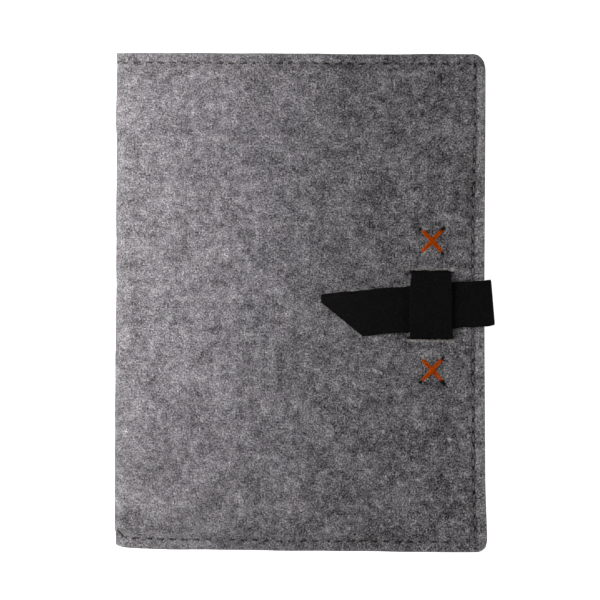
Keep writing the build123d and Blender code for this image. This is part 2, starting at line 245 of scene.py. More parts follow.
# %% Group: heather wool
wool, given, result = new_group(
    "heather_wool",
    [("Vector", "Vector", None), ("Clouds", "Float", 1.0), ("Hairs", "Float", 1.0), ("Grain", "Float", 1.0)],
    [("Tone", "Float"), ("Height", "Float")])
families = []
for kind in (0, 1):
    lines = None
    for k in range(3):
        angle = math.radians(60.0 * k + 22.0 + 31.0 * kind)
        one = use_group(wool, hairs, Vector=given["Vector"], Angle=angle, Length=0.0046 + 0.0009 * k,
                        Width=0.0010 + 0.0001 * k, Seed=1.7 * k + 5.3 * kind + 1.0, Fineness=0.06)["Hair"]
        lines = one if lines is None else calc(wool, "MAXIMUM", lines, one)
    families.append(lines)
light_hairs, dark_hairs = families
big_clouds = noise(wool, given["Vector"], 62.0, 2.0, 0.55)
small_clouds = noise(wool, vector(wool, "ADD", given["Vector"], (0.3, 0.1, 0.2)), 240.0, 2.0, 0.6)
grain = noise(wool, vector(wool, "ADD", given["Vector"], (0.1, 0.4, 0.6)), 1150.0, 1.0, 0.6)
tone = 0.5
for part, middle, amount, weight in (
        (big_clouds, 0.5, "Clouds", 0.42), (small_clouds, 0.5, "Clouds", 0.62), (grain, 0.5, "Grain", 1.0),
        (light_hairs, 0.0, "Hairs", 0.17), (dark_hairs, 0.0, "Hairs", -0.17)):
    tone = calc(wool, "MULTIPLY_ADD", calc(wool, "SUBTRACT", part, middle),
                calc(wool, "MULTIPLY", given[amount], weight), tone)
feed(wool, result["Tone"], tone)
height = calc(wool, "MULTIPLY_ADD", light_hairs, 0.5, calc(wool, "MULTIPLY", small_clouds, 1.2))
feed(wool, result["Height"], calc(wool, "MULTIPLY_ADD", grain, 0.5, height))
print("group heather_wool")

# %% [markdown]
# The shade in needle holes, slits and thread holes is painted: small pits there darken the felt's colour
# towards near black. Their places repeat at even steps, so a group works them out from the cloth's own
# coordinates: the distance to the nearest hole, turned into a soft mask. The fringe of each pit is uneven
# because the coordinates are first pushed about by noise.

# %% Group: painted shade in the seams' pits
STITCH_PITCH = 6.2
FIRST_STITCH_X = -76.0
SEAM_X, SEAM_Y = 90.5, 125.0

pits, given, result = new_group(
    "needle_pit_shade", [("Along", "Float", 0.0), ("Across", "Float", 0.0), ("Phase", "Float", 0.0),
                    ("Dash", "Float", 0.16), ("Size", "Float", 0.0009)],
    [("Pit", "Float")])
step = calc(pits, "ADD", calc(pits, "DIVIDE", given["Along"], STITCH_PITCH * MM), given["Phase"])
step = calc(pits, "SUBTRACT", calc(pits, "FRACT", step), 0.5)
gap = calc(pits, "MAXIMUM", calc(pits, "SUBTRACT", calc(pits, "ABSOLUTE", step), given["Dash"]), 0.0)
gap = calc(pits, "MULTIPLY", gap, STITCH_PITCH * MM)
away = length_of(pits, gap, given["Across"])
feed(pits, result["Pit"], ramp(pits, away, given["Size"], calc(pits, "MULTIPLY", given["Size"], 0.3)))
print("group needle_pit_shade")

# %% [markdown]
# The outer felt's finish puts these together: tone to colour, painted shade in the pits, and the rim's cut
# edge a little paler because cut fibres scatter more light. The slits' lips carry painted light: they are
# painted paler to lift the shade that the loop throws on them. The strip beyond the fore-edge seam is
# painted paler too, for the light that its upturned face catches. The pale and dark wool stand out a little
# more towards the fore-edge. Wool has hardly any gloss, so the specular level is low.

# %% Material: grey outer felt
HALF_WIDTH, HALF_HEIGHT = 96.5, 130.0
GREY_DARK = (0.024, 0.023, 0.025, 1.0)
GREY_LIGHT = (0.78, 0.745, 0.78, 1.0)
CUT_GREY = (0.46, 0.43, 0.44, 1.0)
PAINTED_LIP_LIGHT = (0.83, 0.75, 0.73, 1.0)
PIT_SHADE_BLACK = (0.006, 0.005, 0.005, 1.0)
CUT_EDGE = 0.8
LOOP_X, LOOP_Y = 67.9, -1.93
CROSS_Y, CROSS_OFFSET = -2.23, 33.7
HOLE_MIDDLE_X = LOOP_X + 0.7
HOLE_X, HOLE_Y = 5.8, 6.2


def two_tone(tree, tone, dark, light, low=0.0, high=1.0, curve=1.7):
    """Colour from dark to light wool by tone; the eye sees even steps when the share follows a curve."""
    share = calc(tree, "MULTIPLY_ADD", tone, 1.0 / (high - low), -low / (high - low), clamp=True)
    return mix(tree, calc(tree, "POWER", share, curve), dark, light)


def distance(tree, value, middle):
    """Distance of a value from a middle given in millimetres."""
    return calc(tree, "ABSOLUTE", calc(tree, "SUBTRACT", value, middle * MM))


def beyond(tree, value, limit):
    """How far a value is past a limit given in millimetres, or 0."""
    return calc(tree, "MAXIMUM", calc(tree, "SUBTRACT", value, limit * MM), 0.0)


def cross_hole_shade(tree, x, y):
    """Mask of painted shade in the holes at the ends of the two crosses' arms, pulled long towards each
    cross's middle. Those towards the fore-edge and away from the loop are a little larger."""
    outward = calc(tree, "SUBTRACT", distance(tree, y, CROSS_Y), CROSS_OFFSET * MM)
    dx = calc(tree, "SUBTRACT", distance(tree, x, HOLE_MIDDLE_X), HOLE_X * MM)
    dy = calc(tree, "SUBTRACT", calc(tree, "ABSOLUTE", outward), HOLE_Y * MM)
    away = length_of(tree, calc(tree, "MULTIPLY", calc(tree, "ADD", dx, dy), 0.42),
                     calc(tree, "MULTIPLY", calc(tree, "SUBTRACT", dx, dy), 0.85))
    larger = calc(tree, "MULTIPLY_ADD", calc(tree, "SUBTRACT", x, LOOP_X * MM), 0.04,
                  calc(tree, "MULTIPLY", outward, 0.03))
    return ramp(tree, calc(tree, "SUBTRACT", away, larger), 1.0 * MM, 0.5 * MM)


def slit_mask(tree, x, y, middle, half_length, low, high):
    """Soft stripe along both slits: middle is its distance from the loop's middle line, and it fades out
    between low and high from there."""
    past = beyond(tree, distance(tree, x, LOOP_X), half_length)
    off = distance(tree, distance(tree, y, LOOP_Y), middle)
    return ramp(tree, calc(tree, "ADD", off, past), high * MM, low * MM)


def outer_felt_material(name, with_holes):
    """The grey felt of one cover; only the front one has the loop's slits and the cross-stitches."""
    material, tree, shader = new_material(name)
    cloth = attribute(tree, "cloth")
    shake = vector(tree, "SUBTRACT", noise(tree, cloth, 700.0, 1.0, output="Color"), (0.5, 0.5, 0.5))
    shaken = vector(tree, "ADD", cloth, vector(tree, "SCALE", shake, scale=1.5 * MM))
    x, y, _ = split(tree, shaken)
    across = calc(tree, "ABSOLUTE", y)
    lively = ramp(tree, x, -80.0 * MM, 90.0 * MM, 0.97, 1.45)
    felt = use_group(tree, wool, Vector=cloth, Clouds=lively, Hairs=lively, Grain=lively)
    # Painted shade: the seams' needle holes darken the colour towards near black, more in some holes than in
    # others.
    along = calc(tree, "SUBTRACT", x, FIRST_STITCH_X * MM)
    ends = use_group(tree, pits, Along=along, Across=distance(tree, across, SEAM_Y),
                     Dash=0.24, Size=0.62 * MM)["Pit"]
    ends = calc(tree, "MULTIPLY", ends, ramp(tree, x, (SEAM_X - 1.5) * MM, (SEAM_X - 2.5) * MM, 0.0, 0.85))
    side = use_group(tree, pits, Along=y, Across=distance(tree, x, SEAM_X), Phase=0.5,
                     Dash=0.21, Size=0.85 * MM)["Pit"]
    side = calc(tree, "MULTIPLY", side, ramp(tree, across, (SEAM_Y + 1.5) * MM, SEAM_Y * MM))
    patchy = ramp(tree, noise(tree, cloth, 430.0, 1.0), 0.36, 0.56, 0.25, 1.0)
    patchy = calc(tree, "MAXIMUM", patchy, ramp(tree, x, -45.0 * MM, -65.0 * MM, 0.0, 0.9))
    dark = calc(tree, "MULTIPLY", calc(tree, "MAXIMUM", ends, side), patchy)
    cut = calc(tree, "MAXIMUM", ramp(tree, x, (HALF_WIDTH - CUT_EDGE) * MM, HALF_WIDTH * MM),
               ramp(tree, across, (HALF_HEIGHT - CUT_EDGE) * MM, HALF_HEIGHT * MM))
    # Painted light: the strip between the fore-edge seam and the fore-edge is painted paler, for the light
    # that its upturned face catches.
    painted_rim_light = ramp(tree, x, (SEAM_X + 0.7) * MM, (SEAM_X + 1.9) * MM, 0.0, 0.13)
    colour = two_tone(tree, calc(tree, "ADD", felt["Tone"], painted_rim_light), GREY_DARK, GREY_LIGHT)
    colour = mix(tree, calc(tree, "MULTIPLY", cut, 0.4), colour, CUT_GREY)
    if with_holes:
        # Painted light: the slits' lips are painted paler, to lift the shade that the loop throws on them.
        lip = slit_mask(tree, x, y, middle=18.5, half_length=12.3, low=0.3, high=1.3)
        lip = calc(tree, "MULTIPLY", lip, ramp(tree, felt["Tone"], 0.25, 0.75, 0.35, 1.0))
        colour = mix(tree, lip, colour, PAINTED_LIP_LIGHT)
        # Painted shade in the slits where the loop's ends go down.
        slit = slit_mask(tree, x, y, middle=17.2, half_length=9.9, low=0.4, high=0.9)
        for pit in (cross_hole_shade(tree, x, y), slit):
            dark = calc(tree, "MAXIMUM", dark, pit)
    # Painted shade: every pit's mask darkens the colour towards near black.
    colour = mix(tree, calc(tree, "MULTIPLY", dark, 0.93), colour, PIT_SHADE_BLACK)
    feed(tree, shader.inputs["Base Color"], colour)
    set_gloss(shader, roughness=0.95, gloss=0.12)
    bump(tree, shader, calc(tree, "MULTIPLY_ADD", dark, -1.5, felt["Height"]), 1.2 * MM)
    return material


felt_front = outer_felt_material("grey_felt_front", True)
felt_back = outer_felt_material("grey_felt_back", False)
print("grey felt materials")

# %% [markdown]
# The lining, the tablet holder and the document pocket are a thinner felt of the same wool, a shade
# paler and calmer because it is needled finer. It shares the wool group with other amounts.

# %% Material: lining felt
def plain_felt(name, dark, light, amounts, roughness, gloss, relief):
    """A felt with nothing but its wool; amounts are those of clouds, hairs and grain."""
    material, tree, shader = new_material(name)
    clouds, strands, specks = amounts
    felt = use_group(tree, wool, Vector=attribute(tree, "cloth"), Clouds=clouds, Hairs=strands, Grain=specks)
    feed(tree, shader.inputs["Base Color"], two_tone(tree, felt["Tone"], dark, light))
    set_gloss(shader, roughness, gloss)
    bump(tree, shader, felt["Height"], 0.25 * MM, relief)
    return material


felt_lining = plain_felt("lining_felt", (0.045, 0.043, 0.045, 1.0), (0.82, 0.79, 0.82, 1.0),
                         amounts=(0.7, 0.8, 0.8), roughness=0.95, gloss=0.12, relief=0.7)
print("lining felt material")

# %% [markdown]
# The strap and the loop are black felt. Black wool still has texture, but it is so dark that only the
# faintest tufts show.

# %% Material: black felt
felt_black = plain_felt("black_felt", (0.004, 0.004, 0.004, 1.0), (0.017, 0.0168, 0.0168, 1.0),
                        amounts=(0.5, 0.9, 1.0), roughness=1.0, gloss=0.03, relief=0.6)
print("black felt material")

# %% [markdown]
# Sewing thread is several plies twisted together. On a stitch the twist shows as slanted stripes, which
# a wave across the stitch's own coordinates gives: the first runs along the thread, the second round it.
# The stripes' dark parts are painted shade, where the grooves between plies lie.
# The seams' thread is taupe, a loose end at the spine is brown, and the cross-stitches are orange.

# %% Material: threads
PLIES = 3.0


def thread_material(name, dark, light, twist, roughness, gloss):
    """Twisted thread; the stripes' slope is one turn round for each twist of length."""
    material, tree, shader = new_material(name)
    thread = attribute(tree, "thread")
    along, turn, _ = split(tree, thread)
    turns = calc(tree, "ADD", calc(tree, "DIVIDE", along, twist * MM), turn)
    # Painted shade: each ply darkens towards its edges, for the shade in the grooves between plies.
    ply = calc(tree, "PINGPONG", calc(tree, "MULTIPLY", turns, PLIES), 0.5)
    ply = ramp(tree, ply, 0.02, 0.42)
    fuzz = noise(tree, vector(tree, "MULTIPLY", thread, (2500.0, 9.0, 40.0)), 1.0, 2.0, 0.7)
    tone = calc(tree, "MULTIPLY_ADD", fuzz, 0.8, calc(tree, "MULTIPLY", ply, 0.6))
    feed(tree, shader.inputs["Base Color"], two_tone(tree, tone, dark, light, 0.2, 1.1))
    set_gloss(shader, roughness, gloss)
    bump(tree, shader, ply, 0.12 * MM, 0.8)
    return material


taupe_thread = thread_material("taupe_thread", (0.07, 0.060, 0.055, 1.0), (0.42, 0.385, 0.37, 1.0),
                               twist=1.6, roughness=0.7, gloss=0.2)
brown_thread = thread_material("brown_thread", (0.010, 0.007, 0.005, 1.0), (0.075, 0.055, 0.045, 1.0),
                               twist=1.6, roughness=0.8, gloss=0.1)
orange_thread = thread_material("orange_thread", (0.25, 0.027, 0.0, 1.0), (1.0, 0.155, 0.0005, 1.0),
                                twist=3.0, roughness=0.8, gloss=0.02)
print("thread materials")

# %% [markdown]
# The boards inside the covers are grey card, sealed between felt and lining. They keep their frame mesh
# and get a pressed-card finish: flecks of darker fibre in a flat grey.

# %% Material: board
card, tree, shader = new_material("grey_card")
flecks = ramp(tree, noise(tree, object_coordinates(tree), 900.0, 2.0, 0.6), 0.35, 0.62)
flecked = mix(tree, flecks, (0.12, 0.115, 0.11, 1.0), (0.24, 0.235, 0.225, 1.0))
feed(tree, shader.inputs["Base Color"], flecked)
feed(tree, shader.inputs["Roughness"], calc(tree, "MULTIPLY_ADD", flecks, -0.15, 0.9))
bump(tree, shader, flecks, 0.05 * MM, 0.4)
for name in ("front_board", "back_board"):
    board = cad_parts[name].data
    board.materials.clear()
    board.materials.append(card)
print("card material on both boards")

# %% [markdown]
# Felt is too thick to be a single surface. Each sheet is worked out twice on the same grid, once for its
# outer face and once for its inner face, and the two are joined all round by a cut edge that bulges a
# little, because scissors leave the middle of the thickness standing proud.

# %% Helpers for meshes
def quads(grid):
    """Four corners for every cell of a grid of point numbers, in turning order."""
    cells = (grid[:-1, :-1], grid[1:, :-1], grid[1:, 1:], grid[:-1, 1:])
    return np.stack(cells, -1).reshape(-1, 4)


def make_mesh(name, points, faces, material, **stored):
    """A mesh object from points in millimetres; stored arrays become point attributes, in metres."""
    mesh = bpy.data.meshes.new(name)
    mesh.from_pydata((points * MM).tolist(), [], faces.tolist())
    for label, values in stored.items():
        data = mesh.attributes.new(label, "FLOAT_VECTOR", "POINT").data
        data.foreach_set("vector", (values * MM).astype(np.float32).ravel())
    mesh.shade_smooth()
    mesh.materials.append(material)
    piece = bpy.data.objects.new(name, mesh)
    scene.collection.objects.link(piece)
    print(name, len(points), "points", len(faces), "faces")
    return piece


def outward(points, faces):
    """Turns the faces round if the closed shape's volume comes out negative."""
    a, b, c, d = (points[faces[:, k]] for k in range(4))
    volume = (np.cross(b - a, c - a) * a).sum() + (np.cross(c - a, d - a) * a).sum()
    return faces if volume > 0 else faces[:, ::-1]


def unit(vectors):
    """The same vectors, scaled to length 1."""
    return vectors / np.linalg.norm(vectors, axis=-1, keepdims=True)


def rim_loop(grid):
    """Point numbers once round the border of a grid."""
    return np.concatenate([grid[0, :-1], grid[:-1, -1], grid[-1, :0:-1], grid[:0:-1, 0]])


def add_ring(rings, points, ring):
    """Adds a ring's points to the lists of a shape that is being built."""
    rings.append(sum(len(part) for part in points) + np.arange(len(ring)))
    points.append(ring)


def ring_wall(rings):
    """Quads between rings of point numbers, with the last of each ring joined to its first."""
    rings = np.stack(rings)
    return quads(np.concatenate([rings, rings[:, :1]], 1))[:, ::-1]


def thick_sheet(name, outer, inner, cloth, material, thickness, bulge=0.15):
    """Closed sheet from two grids of points. The cut edge is three rings between the two borders, each
    pushed out from the border by bulge times a rounded profile."""
    n, m = outer.shape[:2]
    top = np.arange(n * m).reshape(n, m)
    bottom = top + n * m
    points = [outer.reshape(-1, 3), inner.reshape(-1, 3)]
    depth = np.zeros((n, m, 3)) + (0, 0, thickness)
    stored = [cloth.reshape(-1, 3), (cloth + depth).reshape(-1, 3)]
    row, column = np.meshgrid(np.arange(n), np.arange(m), indexing="ij")
    inside_row, inside_column = np.clip(row, 1, n - 2), np.clip(column, 1, m - 2)
    border = rim_loop(top)
    out = (outer - outer[inside_row, inside_column]).reshape(-1, 3)[border]
    through = (inner - outer).reshape(-1, 3)[border]
    out = unit(out - (out * unit(through)).sum(1)[:, None] * unit(through))
    rings = [border]
    for share, push in ((0.14, 0.8), (0.5, 1.0), (0.86, 0.8)):
        add_ring(rings, points, points[0][border] + through * share + out * bulge * push)
        stored.append(stored[0][border] + (0, 0, thickness * share) + out * bulge * push)
    rings.append(bottom.ravel()[border])
    faces = np.concatenate([quads(top), quads(bottom)[:, ::-1], ring_wall(rings)])
    points = np.concatenate(points)
    return make_mesh(name, points, outward(points, faces), material, cloth=np.concatenate(stored))


def smooth(value, low, high):
    """Smooth step from 0 at low to 1 at high."""
    t = np.clip((value - low) / (high - low), 0, 1)
    return t * t * (3 - 2 * t)


def even_lines(stops, step):
    """Line positions through every stop, with gaps of about step between them."""
    parts = [np.linspace(a, b, max(1, round((b - a) / step)) + 1)[:-1] for a, b in zip(stops, stops[1:])]
    return np.append(np.concatenate(parts), stops[-1])


print("mesh helpers ready")

# %% [markdown]
# The outer felt is one sheet that runs from the front cover, over the spine, to the back cover. Its
# section is a line up the spine, a quarter circle and a long straight run. It is made as two halves that
# meet in the middle of the spine, because a piece can bend at one joint only. Seen along the sheet:
# position s starts at the middle of the spine and y runs across. Over the board the felt stands 1.6 mm
# higher than at the rim, where it is sewn straight to the lining.

# %% Shape of a cover's outer felt
HEAD_RADIUS, TAIL_RADIUS = 7.4, 5.5
CORNER_REACH = 8.5
BEND_RADIUS = 8.0
BEND_X = BEND_RADIUS - HALF_WIDTH
MIDDLE_Z = TOP_Z / 2
WALL = MIDDLE_Z - BEND_RADIUS
SPINE_ARC = math.pi / 2 * BEND_RADIUS
SECTION_OFFSET = WALL + SPINE_ARC - BEND_X
FELT, LINING, BOARD = 2.8, 1.5, 1.6


def section(s, outer_inset):
    """Point and outward normal of the section at distance s from the spine's middle, for a sheet whose
    outer face lies outer_inset inside the felt's: up the wall, round the bend, then along x."""
    radius = BEND_RADIUS - outer_inset
    arc = radius * math.pi / 2
    turn = np.clip((s - WALL) / radius, 0, math.pi / 2)
    run = np.clip(s - WALL - arc, 0, None)
    x = BEND_X - radius * np.cos(turn) + run
    z = MIDDLE_Z + np.minimum(s, WALL) + radius * np.sin(turn)
    return x, z, -np.cos(turn), np.sin(turn)


def corner_limit(x, half_width, half_height, radius):
    """Half height of the outline at x: straight, then a quarter circle into the fore-edge. The radius
    may be one for each point."""
    into = np.clip(x - (half_width - radius), 0, radius)
    return half_height - radius + np.sqrt(radius ** 2 - into ** 2)


def settle(x, y):
    """The hand-cut outline isn't square. The head falls a little past the middle; the tail falls all the
    way to the fore-edge and is cut back at the spine. The shift grows with the square of y. The tail's
    seam runs a little closer to the middle at the spine."""
    head = -0.6 - 0.35 * np.tanh(x / 30.0) + 0.9 * np.exp(-(x + HALF_WIDTH) / 1.6)
    tail = -0.25 - 0.9 * x / HALF_WIDTH + 1.5 * np.exp(-(x + HALF_WIDTH) / 9.0)
    tail = tail + 0.3 * np.exp(-(x + HALF_WIDTH) / 1.6)
    seam = 0.75 * np.exp(-(x + HALF_WIDTH) / 35.0 - ((y + SEAM_Y) / 3.0) ** 2)
    wobble = 0.10 * np.sin(x / 11.0 + 1.1 * np.sign(y)) + 0.06 * np.sin(x / 4.7)
    return y + (y / HALF_HEIGHT) ** 2 * (np.where(y > 0, head, tail) + wobble) + seam


def sway(x, y):
    """Sideways shift of the fore-edge: in at the middle, out at the tail. The seam beside it runs out
    a little further towards the head."""
    seam = 0.85 * smooth(y, 35.0, 95.0) * np.exp(-((x - SEAM_X) / 3.2) ** 2)
    bow = 0.1 - 0.55 * np.exp(-(y / 75.0) ** 2) + 0.9 * smooth(-y, 90.0, 128.0)
    return seam + smooth(x, 55.0, 90.0) * bow


def spine_sway(y):
    """Sideways shift of the spine: it swells towards the tail, with a slow ripple, and is pinched where
    the seam goes round it and cut back at the tail's corner."""
    ripple = 0.13 * np.sin(y / 13.0 + 1.0) + 0.06 * np.sin(y / 4.1)
    pinch = 0.3 * np.exp(-((y - 122.0) / 3.5) ** 2) + 0.7 * smooth(-y, 119.0, 129.5)
    swell = (0.5 * np.exp(-((y - 97.0) / 16.0) ** 2) + 0.2 * smooth(y, 124.5, 126.5)
             + 0.3 * np.exp(-((y + 68.0) / 24.0) ** 2))
    return -0.6 + 0.0047 * y + ripple + pinch - swell


def waves(x, y):
    """Slow unevenness of a soft sheet, in millimetres: a few crossing sine waves."""
    return (0.10 * np.sin(x / 17.0 + y / 41.0) + 0.08 * np.sin(y / 13.0 - x / 29.0 + 1.0)
            + 0.05 * np.sin(x / 7.3 + y / 9.1 + 2.0) + 0.04 * np.sin(x / 5.1 - y / 6.3))


def fit_corner(x, y, half_width, half_height, radius):
    """Moves the lines beyond the seam so that the outline follows the rounded corner."""
    limit = corner_limit(x, half_width, half_height, radius)
    keep = half_height - CORNER_REACH
    beyond = np.clip(np.abs(y) - keep, 0, None)
    return np.sign(y) * (np.minimum(np.abs(y), keep) + beyond * (limit - keep) / (half_height - keep))


stitch_x = FIRST_STITCH_X + STITCH_PITCH * np.arange(27)
stitch_y = STITCH_PITCH * (np.arange(40) - 19.5)
stitch_cell = np.array([-STITCH_PITCH / 2, -2.2, -0.75, 0.75, 2.2])
cover_s = np.concatenate([
    even_lines([0, WALL, WALL + SPINE_ARC], 0.9)[:-1],
    SECTION_OFFSET + even_lines([BEND_X, stitch_x[0] - STITCH_PITCH / 2], 1.3)[:-1],
    SECTION_OFFSET + (stitch_x[:, None] + stitch_cell).ravel(),
    SECTION_OFFSET + even_lines([stitch_x[-1] + STITCH_PITCH / 2, 89.6, 91.4, 95.8, HALF_WIDTH], 0.55)])
half_y = np.concatenate([(stitch_y[20:, None] + stitch_cell).ravel(),
                         even_lines([124.0, 126.0, 129.3, HALF_HEIGHT], 0.5)])
cover_y = np.concatenate([-half_y[::-1], half_y])
print("cover grid", len(cover_s), "by", len(cover_y))

# %% Relief of the covers
RIM_DROP = 1.0
SLIT_INSET = 16.95
SLIT_HALF = 11.5


def rim_share(x, y):
    """0 over the board, 1 at the sewn rim; it fades out where the sheet turns into the spine."""
    ends = smooth(np.abs(y), 121.3, 124.2) * smooth(x, -88.5, -79.0)
    return 1 - (1 - ends) * (1 - smooth(x, 86.2, 90.0))


def seam_groove(x, y):
    """Share of the pull of the seam: a narrow valley along the stitches, deeper at the needle holes."""
    at_ends = np.exp(-((np.abs(y) - SEAM_Y) / 1.0) ** 2) * smooth(x, 91.5, 90.0)
    at_side = np.exp(-((x - SEAM_X) / 1.0) ** 2) * smooth(np.abs(y), 126.0, 124.5)
    hole_x = np.cos(2 * math.pi * (x - FIRST_STITCH_X) / STITCH_PITCH)
    hole_y = np.cos(2 * math.pi * y / STITCH_PITCH)
    return np.maximum(at_ends * (1 - 0.45 * hole_x), at_side * (1 + 0.45 * hole_y))


def front_pits(x, y):
    """Depth in millimetres of the loop's slits and of the cross-stitches' holes. The felt bulges over the
    loop's hidden tabs and at the slits' lips."""
    across = np.abs(np.abs(y - LOOP_Y) - SLIT_INSET - 0.4)
    slit = 2.3 * smooth(across, 1.7, 0.7) * smooth(np.abs(x - LOOP_X), SLIT_HALF + 0.6, SLIT_HALF - 0.6)
    dx = np.abs(x - HOLE_MIDDLE_X) - HOLE_X
    dy = np.abs(np.abs(y - CROSS_Y) - CROSS_OFFSET) - HOLE_Y
    holes = 1.3 * np.exp(-(dx ** 2 + dy ** 2) / 1.1 ** 2)
    tab = 0.22 * smooth(np.abs(x - LOOP_X), 13.0, 10.5) * smooth(np.abs(y - LOOP_Y), 45.0, 42.0)
    lip = 0.35 * np.exp(-((np.abs(y - LOOP_Y) - SLIT_INSET - 2.6) / 1.3) ** 2)
    lip = lip * smooth(np.abs(x - LOOP_X), SLIT_HALF + 1.5, SLIT_HALF - 1.5)
    return slit + holes - tab - lip


def cover_sheet(name, front, material):
    """One cover's outer felt, from the middle of the spine to the fore-edge."""
    s, y0 = np.meshgrid(cover_s, cover_y, indexing="ij")
    x, z, nx, nz = section(s, 0.0)
    y = fit_corner(x, y0, HALF_WIDTH, HALF_HEIGHT, np.where(y0 > 0, HEAD_RADIUS, TAIL_RADIUS))
    flat = smooth(x, BEND_X - 2, BEND_X + 6)
    curl = smooth(x, 91.0, 96.5) + 0.5 * smooth(np.abs(y), 125.5, 130.0) * smooth(x, -88.0, -78.0)
    down = RIM_DROP * rim_share(x, y) + 0.45 * seam_groove(x, y) - 0.5 * curl
    pinch = 0.3 * np.exp(-((np.abs(y) - SEAM_Y) / 1.2) ** 2) * (1 - smooth(x, -93.0, -86.0))
    outer_drop = -waves(x, y) * flat + down * smooth(x, BEND_X - 3, BEND_X + 2) + pinch
    if front:
        outer_drop = outer_drop + front_pits(x, y)
    inner_drop = FELT + BOARD * rim_share(x, y)
    wave = (1 - flat) * spine_sway(y) + sway(x, y)
    y = settle(x, y)
    sides = []
    for drop in (outer_drop, inner_drop):
        px, pz = x - nx * drop + wave, z - nz * drop
        sides.append(np.stack([px, y, pz if front else TOP_Z - pz], -1))
    cloth = np.stack([s - SECTION_OFFSET, y0, np.full_like(s, 0.0 if front else 50.0)], -1)
    return thick_sheet(name, *sides, cloth, material, FELT)


front_felt = cover_sheet("front_felt", True, felt_front)
back_felt = cover_sheet("back_felt", False, felt_back)
for piece, bodies, ends, nodes in (
        (front_felt, ("spine", "front_cover"), (TOP_Z - BEND_RADIUS, TOP_Z), ("front_outer_felt",)),
        (back_felt, ("spine", "back_cover"), (BEND_RADIUS, 0.0), ("back_outer_felt", "spine_outer_felt"))):
    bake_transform(piece)
    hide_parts(*nodes)

# %% [markdown]
# The lining is a second, thinner sheet inside the first. It lies on the board, steps out beside it, and
# turns round the inside of the spine. Its section is the outer felt's with a smaller radius.

# %% Lining
INNER_HALF_WIDTH, INNER_HALF_HEIGHT, INNER_RADIUS = 96.0, 129.5, 5.0
LINING_INSET = FELT + 0.05
LINING_ARC = (BEND_RADIUS - LINING_INSET) * math.pi / 2
LINING_OFFSET = WALL + LINING_ARC - BEND_X
lining_s = np.concatenate([even_lines([0, WALL, WALL + LINING_ARC], 0.9)[:-1],
                           LINING_OFFSET + even_lines([BEND_X, -84.0, -79.5], 0.8)[:-1],
                           LINING_OFFSET + even_lines([-79.5, 89.0, INNER_HALF_WIDTH], 1.9)])
lining_y = even_lines([-INNER_HALF_HEIGHT, -122.0, 122.0, INNER_HALF_HEIGHT], 1.9)


def inner_corner(x, y):
    """Fits a sheet inside the case to its rounded corners."""
    return fit_corner(x, y, INNER_HALF_WIDTH, INNER_HALF_HEIGHT, INNER_RADIUS)


def lining_sheet(name, front):
    """One cover's lining; it drops by the board's thickness where the board begins."""
    s, y0 = np.meshgrid(lining_s, lining_y, indexing="ij")
    x, z, nx, nz = section(s, LINING_INSET)
    y = settle(x, inner_corner(x, y0))
    drop = (BOARD - 0.05) * smooth(x, -83.6, -80.2)
    sides = []
    for depth in (drop, drop + LINING - 0.02 + 0.25 * waves(x, y) * smooth(x, -79.0, -70.0)):
        px, pz = x - nx * depth, z - nz * depth
        sides.append(np.stack([px, y, pz if front else TOP_Z - pz], -1))
    cloth = np.stack([s - LINING_OFFSET, y0, np.full_like(s, 100.0 if front else 150.0)], -1)
    return thick_sheet(name, *sides, cloth, felt_lining, LINING, 0.2)


front_lining = lining_sheet("front_lining_felt", True)
back_lining = lining_sheet("back_lining_felt", False)
for piece, bodies, ends, nodes in (
        (front_lining, ("spine", "front_cover"), (TOP_Z - BEND_RADIUS, TOP_Z), ("front_lining",)),
        (back_lining, ("spine", "back_cover"), (BEND_RADIUS, 0.0), ("back_lining", "spine_lining"))):
    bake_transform(piece)
    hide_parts(*nodes)

# %% [markdown]
# The tablet slides in from the spine side under a felt panel that is sewn in at the rim, climbs the
# tablet's edge and lies over its face as a border round the screen. As a height over the back cover it
# is one smooth step, so the panel is a grid of heights with a hole for the screen; the hole's edge is
# drawn in to a rounded window by a few extra rings.

# %% Tablet holder
HOLDER_FLOOR, HOLDER_STEP = 5.95, 7.95
HOLDER = 1.5
HOLDER_X, HOLDER_Y, HOLDER_CORNER = 87.2, 122.4, 5.7
WINDOW_X, WINDOW_Y, WINDOW_RADIUS = 74.5, 99.0, 6.0


def holder_height(x, y):
    """Height of the panel's underside: the flange level plus the step, by distance inside the wall."""
    into_x = x - (HOLDER_X - HOLDER_CORNER)
    into_y = np.abs(y) - (HOLDER_Y - HOLDER_CORNER)
    corner = np.hypot(np.clip(into_x, 0, None), np.clip(into_y, 0, None))
    inside = np.where((into_x > 0) & (into_y > 0), HOLDER_CORNER - corner,
                      np.minimum(HOLDER_X - x, HOLDER_Y - np.abs(y)))
    return HOLDER_FLOOR + HOLDER_STEP * smooth(inside, -0.9, 1.5) + 0.25 * waves(x, y) * smooth(inside, 3, 12)


def round_window(x, y):
    """Nearest point on the window's rounded edge for a point on the square round it."""
    cx, cy = WINDOW_X - WINDOW_RADIUS, WINDOW_Y - WINDOW_RADIUS
    dx, dy = np.abs(x) - cx, np.abs(y) - cy
    corner = (dx > 0) & (dy > 0)
    far = np.maximum(np.hypot(dx, dy), 1e-6)
    ex = np.where(corner, cx + dx / far * WINDOW_RADIUS, np.minimum(np.abs(x), WINDOW_X))
    ey = np.where(corner, cy + dy / far * WINDOW_RADIUS, np.minimum(np.abs(y), WINDOW_Y))
    return np.sign(x) * ex, np.sign(y) * ey


